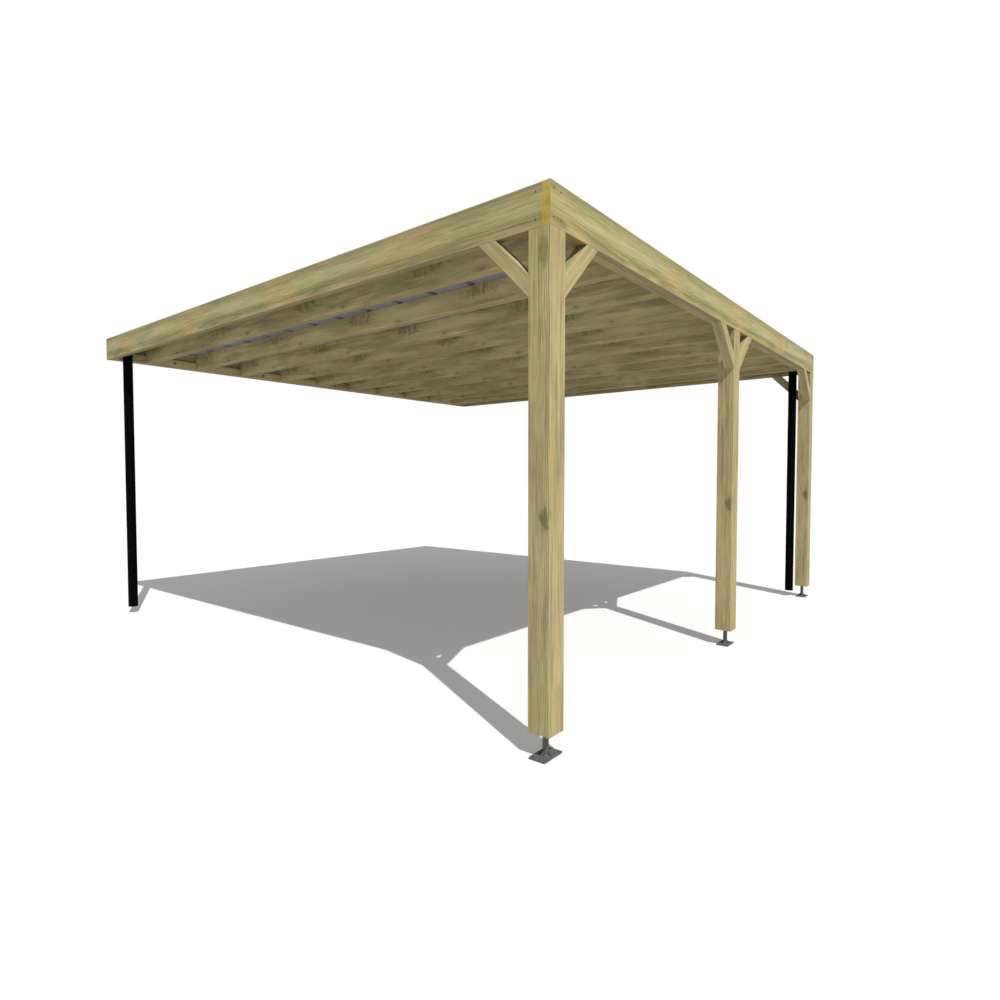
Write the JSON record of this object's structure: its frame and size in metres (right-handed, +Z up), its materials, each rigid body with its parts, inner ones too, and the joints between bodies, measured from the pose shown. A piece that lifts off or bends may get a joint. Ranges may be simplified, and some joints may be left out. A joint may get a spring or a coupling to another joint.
{
  "type": "wall-mounted carport",
  "caption": "Square timber carport for one wall: post row in front with knee braces, a ring of boards, joists under a ribbed steel roof, hidden gutters and corner downpipes.",
  "frame": {"origin": "the middle of the wall board's flat back face, 2477.5 mm above the ground", "axes": "+Y into the wall, +Z up, +X along the wall to the right as seen from the front; the ground is at z = -2.4775"},
  "size_m": [5.03, 5, 2.575],
  "materials": {
    "fascia_timber": "planed pine, pressure treated, green and tan streaks",
    "joist_timber": "sawn pine, pressure treated, green and tan streaks",
    "post_timber": "planed pine, pressure treated, fine upright grain",
    "brace_timber": "planed pine, pressure treated",
    "foot_steel": "hot-dip galvanised, dull dark grey",
    "roof_steel": "coated sheet, blue-grey, satin",
    "gutter_steel": "galvanised folded sheet, satin",
    "downpipe_black": "black, smooth, low gloss"
  },
  "bodies": {
    "root": {"front_fascia": "fascia_timber", "left_fascia": "fascia_timber", "right_fascia": "fascia_timber", "wall_board": "joist_timber", "front_batten_left": "joist_timber", "front_batten_right": "joist_timber", "wall_batten": "joist_timber", "joist_01": "joist_timber", "joist_02": "joist_timber", "joist_03": "joist_timber", "joist_04": "joist_timber", "joist_05": "joist_timber", "joist_06": "joist_timber", "joist_07": "joist_timber", "joist_08": "joist_timber", "joist_09": "joist_timber", "joist_10": "joist_timber", "post_left": "post_timber", "post_middle": "post_timber", "post_right": "post_timber", "brace_left_side": "brace_timber", "brace_left_front": "brace_timber", "brace_middle_left": "brace_timber", "brace_middle_right": "brace_timber", "brace_right_front": "brace_timber", "brace_right_side": "brace_timber", "foot_left": "foot_steel", "foot_middle": "foot_steel", "foot_right": "foot_steel", "roof_sheet_1": "roof_steel", "roof_sheet_2": "roof_steel", "roof_sheet_3": "roof_steel", "roof_sheet_4": "roof_steel", "roof_sheet_5": "roof_steel", "gutter_left": "gutter_steel", "gutter_right": "gutter_steel", "downpipe_left": "downpipe_black", "downpipe_right": "downpipe_black"}
  },
  "joints": []
}
